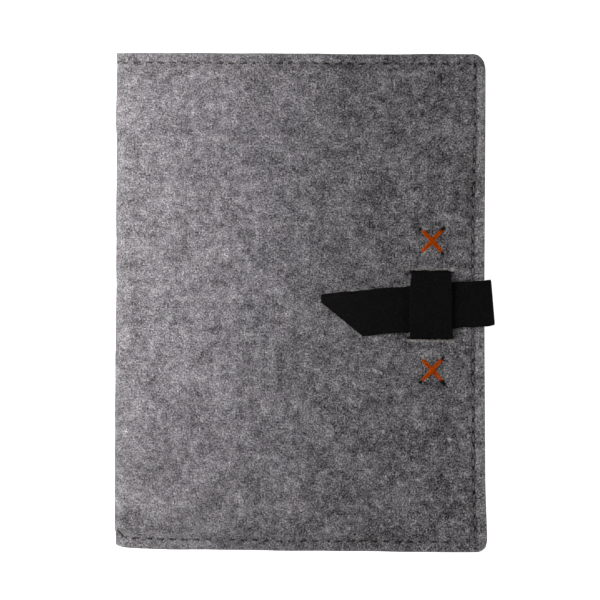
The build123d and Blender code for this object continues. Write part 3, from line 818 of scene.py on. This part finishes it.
def tablet_holder():
    """Two grids of heights, a panel's thickness apart, each with a hole, joined at the border and at the
    window."""
    gx, gy = WINDOW_X + 1.2, WINDOW_Y + 1.2
    xs = np.concatenate([even_lines([-85.0, -79.0, -gx], 1.0), even_lines([-gx, gx], 2.2)[1:-1],
                         even_lines([gx, 84.5, 89.0, INNER_HALF_WIDTH], 0.75)])
    half = np.concatenate([even_lines([0, gy], 2.2)[:-1],
                           even_lines([gy, 118.0, 124.5, INNER_HALF_HEIGHT], 0.75)])
    ys = np.concatenate([-half[:0:-1], half])
    x, y0 = np.meshgrid(xs, ys, indexing="ij")
    y = inner_corner(x, y0)
    low = holder_height(x, y)
    y = settle(x, y)
    slope_x, slope_y = np.gradient(low, xs, ys)
    under = np.stack([x, y, low], -1)
    over = under + unit(np.stack([-slope_x, -slope_y, np.ones_like(low)], -1)) * (HOLDER - 0.05)
    n, m = x.shape
    i0, i1 = np.searchsorted(xs, (-gx - 0.01, gx - 0.01))
    j0, j1 = np.searchsorted(ys, (-gy - 0.01, gy - 0.01))
    grid = np.arange(n * m).reshape(n, m)
    keep = np.ones((n - 1, m - 1), bool)
    keep[i0:i1, j0:j1] = False
    cells = quads(grid)[keep.ravel()]
    border, hole = rim_loop(grid), rim_loop(grid[i0:i1 + 1, j0:j1 + 1])[::-1]
    points = [over.reshape(-1, 3), under.reshape(-1, 3)]
    cloth = np.stack([x, y0, 200.0 + low], -1).reshape(-1, 3)
    stored = [cloth, cloth - (0, 0, HOLDER)]

    out = np.stack([1.0 * (x == xs[-1]) - (x == xs[0]), 1.0 * (y0 == ys[-1]) - (y0 == ys[0]),
                    np.zeros_like(x)], -1)
    out = unit(out.reshape(-1, 3)[border])
    border_rings = [border]
    for share in (0.15, 0.5, 0.85):
        add_ring(border_rings, points, points[0][border] * (1 - share) + points[1][border] * share
                 + out * 0.2 * (1 - (2 * share - 1) ** 4))
        stored.append(cloth[border] - (0, 0, HOLDER * share))
    border_rings.append(border + n * m)

    edge = points[0][hole]
    wx, wy = round_window(edge[:, 0], edge[:, 1])
    hole_rings = [hole]
    for share, depth in ((0.45, 0.0), (0.8, 0.03), (0.98, 0.25), (1.0, 0.75), (0.98, 1.25), (0.8, 1.45),
                         (0.45, HOLDER)):
        ring = edge + np.stack([(wx - edge[:, 0]) * share, (wy - edge[:, 1]) * share,
                                np.full(len(hole), -depth)], -1)
        add_ring(hole_rings, points, ring)
        stored.append(ring + (0, 0, 200.0 - HOLDER))
    hole_rings.append(hole + n * m)

    faces = np.concatenate([cells, cells[:, ::-1] + n * m, ring_wall(border_rings), ring_wall(hole_rings)])
    points = np.concatenate(points)
    return make_mesh("tablet_holder_felt", points, outward(points, faces), felt_lining,
                     cloth=np.concatenate(stored))


holder = tablet_holder()
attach(holder, "back_cover")
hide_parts("tablet_holder")

# %% [markdown]
# Inside the front cover a flat felt panel makes a pocket for papers. It is sewn in at the rim on three
# sides and has a shallow curve in its open edge, for a thumb.

# %% Document pocket
POCKET_Z, POCKET = 15.8, 1.2
POCKET_LEFT = -23.3
NOTCH_RADIUS, NOTCH_DEPTH = 40.0, 12.0


def pocket_sheet():
    """Grid from the notched edge to the fore-edge: the x lines squeeze up where the notch cuts in."""
    share = np.concatenate([even_lines([0, 0.05], 0.008)[:-1], even_lines([0.05, 1.0], 0.016)])
    ys = even_lines([-INNER_HALF_HEIGHT, -30.0, 30.0, INNER_HALF_HEIGHT], 1.6)
    t, y0 = np.meshgrid(share, ys, indexing="ij")
    bite = np.sqrt(np.clip(NOTCH_RADIUS ** 2 - y0 ** 2, 0, None)) - (NOTCH_RADIUS - NOTCH_DEPTH)
    left = POCKET_LEFT + np.logaddexp(0, bite / 1.2) * 1.2
    x = left + (INNER_HALF_WIDTH - left) * t
    y = settle(x, inner_corner(x, y0))
    open_edge = 0.35 * np.exp(-(x - left) / 9.0) * smooth(np.abs(y0), 125.0, 90.0)
    low = POCKET_Z - open_edge + 0.12 * waves(x, y0) * smooth(np.abs(y0), 125.0, 110.0)
    sides = [np.stack([x, y, np.full_like(x, POCKET_Z + POCKET - 0.03)], -1), np.stack([x, y, low], -1)]
    cloth = np.stack([x, y0, np.full_like(x, 250.0)], -1)
    return thick_sheet("document_pocket_felt", *sides, cloth, felt_lining, POCKET, 0.2)


pocket = pocket_sheet()
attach(pocket, "front_cover")
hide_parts("document_pocket")

# %% [markdown]
# A stitch is a short arch of thread that dives into the felt at both ends. One template arch is worked
# out once, then copied to every place in one array operation, with a small turn and shift of its own so
# that the row looks sewn and not printed.

# %% Seam threads
THREAD_RADIUS = 0.36
END_STITCHES = 2 * len(stitch_x)


def tube(centre, across, up, radius, sides, along, third=0.0):
    """Points, thread coordinates and quads of a tube with an even number of sides: circles round a line
    of centres, spanned by two unit vectors, with a flat cap at both ends."""
    turn = 2 * math.pi * np.arange(sides) / sides
    circle = across[:, None] * np.cos(turn)[None, :, None] + up[:, None] * np.sin(turn)[None, :, None]
    points = centre[:, None] + radius[:, None, None] * circle
    thread = np.stack(np.broadcast_arrays(along[:, None], turn / (2 * math.pi) / MM, third), -1)
    ring = np.arange(len(centre) * sides).reshape(-1, sides)
    cap = np.array([(0, k, k + 1, k + 2) for k in range(1, sides - 1, 2)])
    faces = np.concatenate([ring_wall(ring)[:, ::-1], cap, cap[:, ::-1] + ring[-1, 0]])
    return points.reshape(-1, 3), thread.reshape(-1, 3), faces


def stitch_template(length, height, dive, rings=8, sides=6):
    """Arch of thread along x: height follows a flattened half wave, and both ends dive below the face.
    The tube closes to a near point at its ends."""
    t = np.linspace(-1, 1, rings)
    reach = length / 2 * np.sin(t * math.pi / 2)
    lift = (height + dive) * np.sqrt(np.clip(1 - t ** 4, 0, 1)) - dive
    radius = THREAD_RADIUS * np.where(np.abs(t) == 1, 0.05, 1.0)
    across, up = (np.tile(axis, (rings, 1)) for axis in ((0.0, 1.0, 0.0), (0.0, 0.0, 1.0)))
    return tube(np.stack([reach, 0 * t, lift], -1), across, up, radius, sides, reach)


def repeat_shape(template, places, headings, faces_up=1.0, slant=0.0):
    """Copies of a template at places, each turned by its heading; a slant of its own is added."""
    points, thread, faces = template
    count, size = len(places), len(points)
    turn = headings + slant + random.normal(0, 0.06, count)
    cos, sin = np.cos(turn)[:, None], np.sin(turn)[:, None]
    x, y, z = points.T
    z = z * faces_up
    moved = np.stack([x * cos - y * sin, x * sin + y * cos, np.repeat(z[None], count, 0)], -1)
    moved += places[:, None] + random.normal(0, 0.07, (count, 1, 3)) * (1, 1, 0.3)
    stored = np.repeat(thread[None], count, 0) + (np.arange(count) * 7.0)[:, None, None] * (1, 0, 1)
    faces = faces[None] + (np.arange(count) * size)[:, None, None]
    return moved.reshape(-1, 3), stored.reshape(-1, 3), faces.reshape(-1, 4)


def seam_places(level):
    """Middle and heading of every stitch of a cover: first along head and tail, then the fore-edge."""
    side_x = SEAM_X + sway(SEAM_X, stitch_y)
    x = np.concatenate([stitch_x, stitch_x, side_x])
    y = np.concatenate([np.full_like(stitch_x, SEAM_Y), np.full_like(stitch_x, -SEAM_Y), stitch_y])
    headings = np.repeat((0.0, math.pi / 2), (END_STITCHES, len(stitch_y)))
    return np.stack([x, settle(x, y), np.full_like(x, level)], -1), headings


def join_shapes(name, shapes, material):
    """One mesh from several shapes, each turned to face outwards."""
    points, stored, faces, start = [], [], [], 0
    for shape_points, shape_stored, shape_faces in shapes:
        points.append(shape_points)
        stored.append(shape_stored)
        faces.append(outward(shape_points, shape_faces) + start)
        start += len(shape_points)
    return make_mesh(name, np.concatenate(points), np.concatenate(faces), material,
                     thread=np.concatenate(stored))


def thread_piece(name, shapes, material, body, slot, *nodes):
    """A mesh of threads that rides on one body and stands for the frame's plain threads."""
    piece = join_shapes(name, shapes, material)
    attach(piece, body)
    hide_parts(*nodes)


RIM_Z = TOP_Z - RIM_DROP
end_stitch = stitch_template(3.2, 0.20, 0.60)
side_stitch = stitch_template(4.3, 0.30, 0.55)
for name, level, face, body, node in (
        ("front_stitches", RIM_Z - 0.40, 1.0, "front_cover", "front_seam_thread"),
        ("back_stitches", RIM_DROP + 0.40, -1.0, "back_cover", "back_seam_thread")):
    places, headings = seam_places(level)
    rows = [repeat_shape(end_stitch, places[:END_STITCHES], headings[:END_STITCHES], face, 0.36 * face),
            repeat_shape(side_stitch, places[END_STITCHES:], headings[END_STITCHES:], face, 0.05 * face)]
    thread_piece(name, rows, taupe_thread, body, "thread_taupe", node)
under_stitch = stitch_template(4.3, 0.12, 0.35)
places, headings = seam_places(7.4)
thread_piece("back_under_stitches", [repeat_shape(under_stitch, places, headings)], taupe_thread,
             "back_cover", "thread_taupe", "back_bobbin_thread")
places, headings = seam_places(POCKET_Z)
places[places[:, 0] < POCKET_LEFT, 2] = 17.0
thread_piece("front_under_stitches", [repeat_shape(under_stitch, places, headings, -1.0)], taupe_thread,
             "front_cover", "thread_taupe", "front_bobbin_thread")

# %% Stitches round the bends of the spine
BEND_STITCH_X = FIRST_STITCH_X - STITCH_PITCH * np.arange(1, 5)


def along_section(flat_x, y, lift):
    """Points at lift above the outer face, where the flat sheet's coordinate is flat_x."""
    x, z, nx, nz = section(flat_x + SECTION_OFFSET, 0.0)
    return np.stack([x + nx * lift + (1 - smooth(x, BEND_X - 2, BEND_X + 6)) * spine_sway(y),
                     settle(x, y), z + nz * lift], -1)


def bend_with_spine(piece):
    """Bakes a piece's placement into its points."""
    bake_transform(piece)


def bend_stitches(name, front, nodes):
    """The seam's stitches that go round the bend, laid on the curved sheet."""
    points, stored, faces = end_stitch
    shapes = []
    for side in (1, -1):
        for k, x in enumerate(BEND_STITCH_X):
            laid = along_section(x + points[:, 0], side * SEAM_Y + points[:, 1] + 0.12 * points[:, 0],
                                 points[:, 2] - 0.35)
            shapes.append((laid, stored + (9.0 * k, 0, 0), faces))
    shapes = [(p if front else p * (1, 1, -1) + (0, 0, TOP_Z), t, f if front else f[:, ::-1])
              for p, t, f in shapes]
    piece = join_shapes(name, shapes, taupe_thread)
    bend_with_spine(piece)
    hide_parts(*nodes)


def loose_end(count=14, sides=6):
    """A thread end that crosses the tail's corner slantwise, over the bend."""
    t = np.linspace(0, 1, count)
    line = along_section(-91.4 - 4.4 * t, -124.9 + 4.2 * t, 0.2 - 0.6 * t ** 6)
    tangent = unit(np.gradient(line, axis=0))
    across = unit(np.cross(tangent, (0, 0, 1.0)))
    radius = THREAD_RADIUS * np.clip(np.minimum(t, 1 - t) * 12, 0.06, 1)
    return tube(line, across, np.cross(across, tangent), radius, sides, t * 7.6)


bend_stitches("front_bend_stitches", True, ["spine_seam_thread"])
bend_stitches("back_bend_stitches", False, [])
bend_with_spine(join_shapes("loose_thread", [loose_end()], brown_thread))

points, stored, faces = stitch_template(2.9, 0.1, 0.4)
upright = np.stack([points[:, 2], points[:, 1], points[:, 0]], -1)
inside_x = -HALF_WIDTH + FELT + LINING + 0.1 - 0.6
shapes = [(upright + (inside_x, settle(-96.0, side * SEAM_Y), MIDDLE_Z + step), stored, faces)
          for side in (1, -1) for step in (-1.75, 1.75)]
thread_piece("spine_under_stitches", shapes, taupe_thread, "spine", "thread_taupe", "spine_bobbin_thread")

# %% [markdown]
# The strap is one strip of black felt: its sewn end lies inside the back cover, it turns up round the
# fore-edge, and its tongue lies on the front with a slanted tip. Its section is two straight runs, two
# small bends and the upright run between. Like the felt it is made as two halves that meet half way up.

# %% Strap
STRAP_TILT = math.radians(4.8)
STRAP_X, STRAP_Y = 68.1, -3.4
STRAP_HALF = 11.8
STRAP_RADIUS = 3.0
STRAP_REACH = 32.7
STRAP = 1.6
STRAP_LOW = FELT
SLIDE_GAP = 0.15
STRAP_HIGH = TOP_Z + SLIDE_GAP + STRAP
ANCHOR_START = -1.0
TIP_REACH, TIP_BLUNT, TIP_SLANT = -56.9, 7.7, -36.7


def place_strap(u, v, z):
    """From strap coordinates to the case's: turn by the strap's tilt and shift to its middle."""
    cos, sin = math.cos(STRAP_TILT), math.sin(STRAP_TILT)
    return np.stack([STRAP_X + u * cos - v * sin, STRAP_Y + u * sin + v * cos, z], -1)


def strap_half(name, upper):
    """Half of the strap, from the middle of its upright run to its end. Distance s runs up the
    upright, round the bend and inwards; the tip's line depends on v."""
    middle = (STRAP_LOW + STRAP_HIGH) / 2
    rise = (STRAP_HIGH - STRAP_LOW) / 2 - STRAP_RADIUS
    arc = STRAP_RADIUS * math.pi / 2
    vs = even_lines([-STRAP_HALF, -11.1, TIP_BLUNT, 11.1, STRAP_HALF], 0.8)
    shares = np.linspace(0, 1, 70 if upper else 30)
    flat_start = rise + arc
    s_fixed, v1 = np.meshgrid(even_lines([0, rise, flat_start], 0.5)[:-1], vs, indexing="ij")
    end_u = np.full_like(vs, ANCHOR_START)
    if upper:
        slope = (TIP_SLANT - TIP_REACH) / (TIP_BLUNT + STRAP_HALF)
        end_u = np.where(vs > TIP_BLUNT, TIP_REACH + 0.12 * (vs - TIP_BLUNT),
                         TIP_REACH + (TIP_BLUNT - vs) * slope)
        end_u = end_u + 0.12 * np.sin(vs * 1.7)
    length = STRAP_REACH - STRAP_RADIUS - end_u
    s_run = flat_start + shares[:, None] * length[None]
    s = np.concatenate([s_fixed, s_run])
    v = np.concatenate([v1, np.repeat(vs[None], len(shares), 0)])
    turn = np.clip((s - rise) / STRAP_RADIUS, 0, math.pi / 2)
    run = np.clip(s - flat_start, 0, None)
    u = STRAP_REACH - STRAP_RADIUS * (1 - np.cos(turn)) - run
    z = np.minimum(s, rise) + STRAP_RADIUS * np.sin(turn)
    nu, nz = np.cos(turn), np.sin(turn)
    edge = smooth(np.abs(v), 10.7, STRAP_HALF) * 0.18
    v = v + (0.16 * np.sin(s / 3.3) + 0.1 * np.sin(s / 1.37 + 1)) * (np.abs(v) / STRAP_HALF) ** 4
    if upper:
        v = v + 0.35 * np.sin(np.clip(run, 0, 80) / 80 * math.pi) * (np.abs(v) / STRAP_HALF)
    sides = []
    for depth in (edge, STRAP - edge * 0.5):
        pu, pz = u - nu * depth, z - nz * depth
        sides.append(place_strap(pu, v, middle + pz if upper else middle - pz))
    cloth = np.stack([s, v, np.full_like(s, 300.0 if upper else 350.0)], -1)
    return thick_sheet(name, *sides, cloth, felt_black, STRAP, 0.18)


strap_top = strap_half("strap_tongue_felt", True)
strap_bottom = strap_half("strap_sewn_felt", False)


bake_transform(strap_top)
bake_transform(strap_bottom)
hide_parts("strap_tongue", "strap_bend")
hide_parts("strap_anchor")

# %% [markdown]
# The loop is a short black band over the strap. Its ends go down through two slits in the front felt and
# lie hidden under it, each held by a cross-stitch. Its section runs along y: hidden tab, up, over, down,
# hidden tab, with small bends.

# %% Loop
LOOP_HALF_WIDTH = 10.9
LOOP_SPAN = 17.75
TAB_REACH = 43.3
TAB_Z = 20.1
LOOP_TOP = STRAP_HIGH + SLIDE_GAP + STRAP


def path_through(corners, radii, step):
    """Points, normals and distances along straight runs joined by quarter circles, in the path's plane."""
    corners = np.array(corners, float)
    turn = np.linspace(0, math.pi / 2, 7)[:, None]
    points = [corners[:1]]
    for last, corner, following, radius in zip(corners, corners[1:], corners[2:], radii):
        before, after = unit(last - corner), unit(following - corner)
        points.append(corner + radius * (before * (1 - np.sin(turn)) + after * (1 - np.cos(turn))))
    points = np.concatenate([*points, corners[-1:]])
    lengths = np.append(0, np.cumsum(np.linalg.norm(np.diff(points, axis=0), axis=1)))
    count = max(2, round(lengths[-1] / step))
    at = np.unique(np.concatenate([np.linspace(0, lengths[-1], count), lengths]))
    at = at[np.append(True, np.diff(at) > 0.05)]
    line = np.stack([np.interp(at, lengths, points[:, k]) for k in (0, 1)], -1)
    tangent = unit(np.gradient(line, at, axis=0))
    return line, np.stack([-tangent[:, 1], tangent[:, 0]], -1), at


def loop_band():
    """The band's section carried across its width; both faces and cut edges closed."""
    corners = [(-TAB_REACH, TAB_Z), (-LOOP_SPAN, TAB_Z), (-LOOP_SPAN, LOOP_TOP), (LOOP_SPAN, LOOP_TOP),
               (LOOP_SPAN, TAB_Z), (TAB_REACH, TAB_Z)]
    line, normal, at = path_through(corners, [0.5, 1.9, 1.9, 0.5], 0.9)
    xs = even_lines([-LOOP_HALF_WIDTH, -10.6, 10.6, LOOP_HALF_WIDTH], 0.9)
    k, x = np.meshgrid(np.arange(len(line)), xs, indexing="ij")
    side = x / LOOP_HALF_WIDTH
    ragged = (0.06 * np.sin(at[k] / 1.9) + 0.04 * np.sin(at[k] / 0.83 + 1)) * side ** 6
    flare = 0.05 - 0.8 * smooth(line[k, 0], 6.0, 17.5) * side
    flare = flare + smooth(-line[k, 0], 9.0, 17.5) * (0.3 + 0.2 * side)
    edge = 0.15 * smooth(np.abs(x), 10.4, LOOP_HALF_WIDTH)
    sides = []
    for depth in (edge, STRAP - 0.5 * edge):
        y = line[k, 0] - normal[k, 0] * depth
        z = line[k, 1] - normal[k, 1] * depth
        sides.append(np.stack([LOOP_X + x + ragged + flare, LOOP_Y + y, z], -1))
    cloth = np.stack([x, at[k], np.full_like(x, 400.0)], -1)
    return thick_sheet("loop_felt", *sides, cloth, felt_black, STRAP, 0.18)


loop_piece = loop_band()
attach(loop_piece, "front_cover")
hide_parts("strap_loop")

# %% [markdown]
# Each cross-stitch is thick orange thread: two arms that cross, each made of three strands lying side by
# side with a slow twist. A strand is a tube round a path that arches over the felt and dives into a hole
# at both ends. The second arm rides over the first where they cross.

# %% Cross-stitches
CROSS_X = 68.6
CROSS_HALF = (5.6, 5.8)
STRAND_RADIUS = 0.47
STRAND_DIVE = 1.3


def strand(start, end, level, height, over, phase, sign=1.0, rings=22, sides=8):
    """One strand: it follows the arm's line, circles round it by a slow twist, and arches by a
    flattened wave with a rise in the middle when it lies over the other arm. A sign of -1 hangs it
    below its level instead."""
    t = np.linspace(0, 1, rings)
    start, end = np.array(start, float), np.array(end, float)
    length = np.linalg.norm(end - start)
    along = (end - start) / length
    side = np.array([-along[1], along[0]])
    arch = np.sqrt(np.clip(1 - np.abs(2 * t - 1) ** 5, 0, 1))
    taper = 0.25 + 0.75 * arch
    twist = phase + t * math.pi * 0.6
    lift = (height + STRAND_DIVE) * arch - STRAND_DIVE + 0.28 * np.sin(twist) * taper
    lift = level + lift + over * np.exp(-((t - 0.5) / 0.13) ** 2)
    reach = start + (end - start) * t[:, None] + side * (0.74 * np.cos(twist) * taper)[:, None]
    centre = np.concatenate([reach, lift[:, None]], 1)
    radius = STRAND_RADIUS * (0.6 + 0.4 * arch)
    radius[[0, -1]] = 0.02
    tangent = unit(np.gradient(centre, axis=0))
    across = np.append(side, 0.0)
    across = unit(across - (across * tangent).sum(1)[:, None] * tangent)
    points, thread, faces = tube(centre, across, np.cross(tangent, across), radius, sides,
                                 t * length + phase * 9, phase)
    points[:, 2] = level + (points[:, 2] - level) * sign
    return points, thread, faces[:, ::int(sign)]


def cross(name, x, y, level, returns, top_arm, body, node, sign=1.0):
    """Two arms of three strands on the face, and two short runs of thread on the inside."""
    hx, hy = CROSS_HALF
    shapes = []
    for arm in (1, -1):
        start, end = (x - hx, y - arm * hy), (x + hx, y + arm * hy)
        over = 0.75 if arm == top_arm else 0.0
        for k in range(3):
            shapes.append(strand(start, end, level, 0.25, over, 2.1 * k + 0.6 * arm, sign))
    for side in (1, -1):
        start, end = (x + side * hx, y - hy), (x + side * hx, y + hy)
        for k in range(2):
            shapes.append(strand(start, end, returns, -0.1, 0.0, 3.1 * k, -sign))
    thread_piece(name, shapes, orange_thread, body, "thread_orange", node)


cross("upper_cross", CROSS_X, CROSS_Y + CROSS_OFFSET, TOP_Z, 18.4, -1, "front_cover", "upper_cross_stitch")
cross("lower_cross", CROSS_X, CROSS_Y - CROSS_OFFSET, TOP_Z, 18.4, 1, "front_cover", "lower_cross_stitch")
cross("back_cross", 78.0, LOOP_Y, 1.0, 4.4, 1, "back_cover", "anchor_cross_stitch", -1.0)

# %% [markdown]
# The case lies on a plain white floor. Three lamps light it: a large soft one from the spine side, a
# smaller one from the fore-edge side, and a strip with a narrow beam straight above the spine. Their
# places and sizes are in metres. A little light comes from everywhere. The floor glows so that it stays
# white right up to the case, as a light table does, and it lights the covers' edges from below.

# %% Floor and light
FLOOR_HALF, FLOOR_Z = 3000.0, -0.05
WORLD_LIGHT = 0.10

white, tree, shader = new_material("white_floor")
grain = noise(tree, object_coordinates(tree), 40.0, 2.0)
feed(tree, shader.inputs["Base Color"], mix(tree, grain, (0.80, 0.80, 0.80, 1.0), (0.82, 0.82, 0.82, 1.0)))
set_gloss(shader, roughness=0.9, gloss=0.0)
shader.inputs["Emission Color"].default_value = (1.0, 1.0, 1.0, 1.0)
shader.inputs["Emission Strength"].default_value = 0.92
corners = np.array([(-1, -1), (1, -1), (1, 1), (-1, 1)]) * FLOOR_HALF
corners = np.column_stack([corners, np.full(4, FLOOR_Z)])
floor = make_mesh("floor", corners, np.array([[0, 1, 2, 3]]), white)


def area_light(name, location, target, size, power, spread=180.0):
    """A soft rectangular lamp aimed at a target, out of the camera's sight; spread is its beam's angle
    in degrees."""
    data = bpy.data.lights.new(name, "AREA")
    data.shape, data.size, data.size_y, data.energy = "RECTANGLE", size[0], size[1], power
    data.spread = math.radians(spread)
    lamp = bpy.data.objects.new(name, data)
    lamp.location = location
    aim = np.array(target, float) - np.array(location, float)
    lamp.rotation_euler = (math.atan2(math.hypot(aim[0], aim[1]), -aim[2]), 0, math.atan2(-aim[0], aim[1]))
    lamp.visible_camera = False
    scene.collection.objects.link(lamp)


area_light("spine_light", (-0.15, 0.065, 0.80), (-0.15, 0.065, 0.0), (0.06, 0.36), power=0.41, spread=28.0)
area_light("key_light", (-0.85, 0.10, 0.55), (0, 0, 0), (0.7, 0.7), power=9.1)
area_light("edge_light", (0.90, -0.15, 0.26), (0, 0, 0), (0.5, 0.4), power=3.5)

world = bpy.data.worlds.new("studio")
scene.world = world
world.use_nodes = True
tree = world.node_tree
background = tree.nodes["Background"]
light_path = tree.nodes.new("ShaderNodeLightPath")
background.inputs["Color"].default_value = (1.0, 1.0, 1.0, 1.0)
strength = ramp(tree, light_path.outputs["Is Camera Ray"], 0.0, 1.0, WORLD_LIGHT, 1.0)
feed(tree, background.inputs["Strength"], strength)
scene.view_settings.view_transform = "Standard"
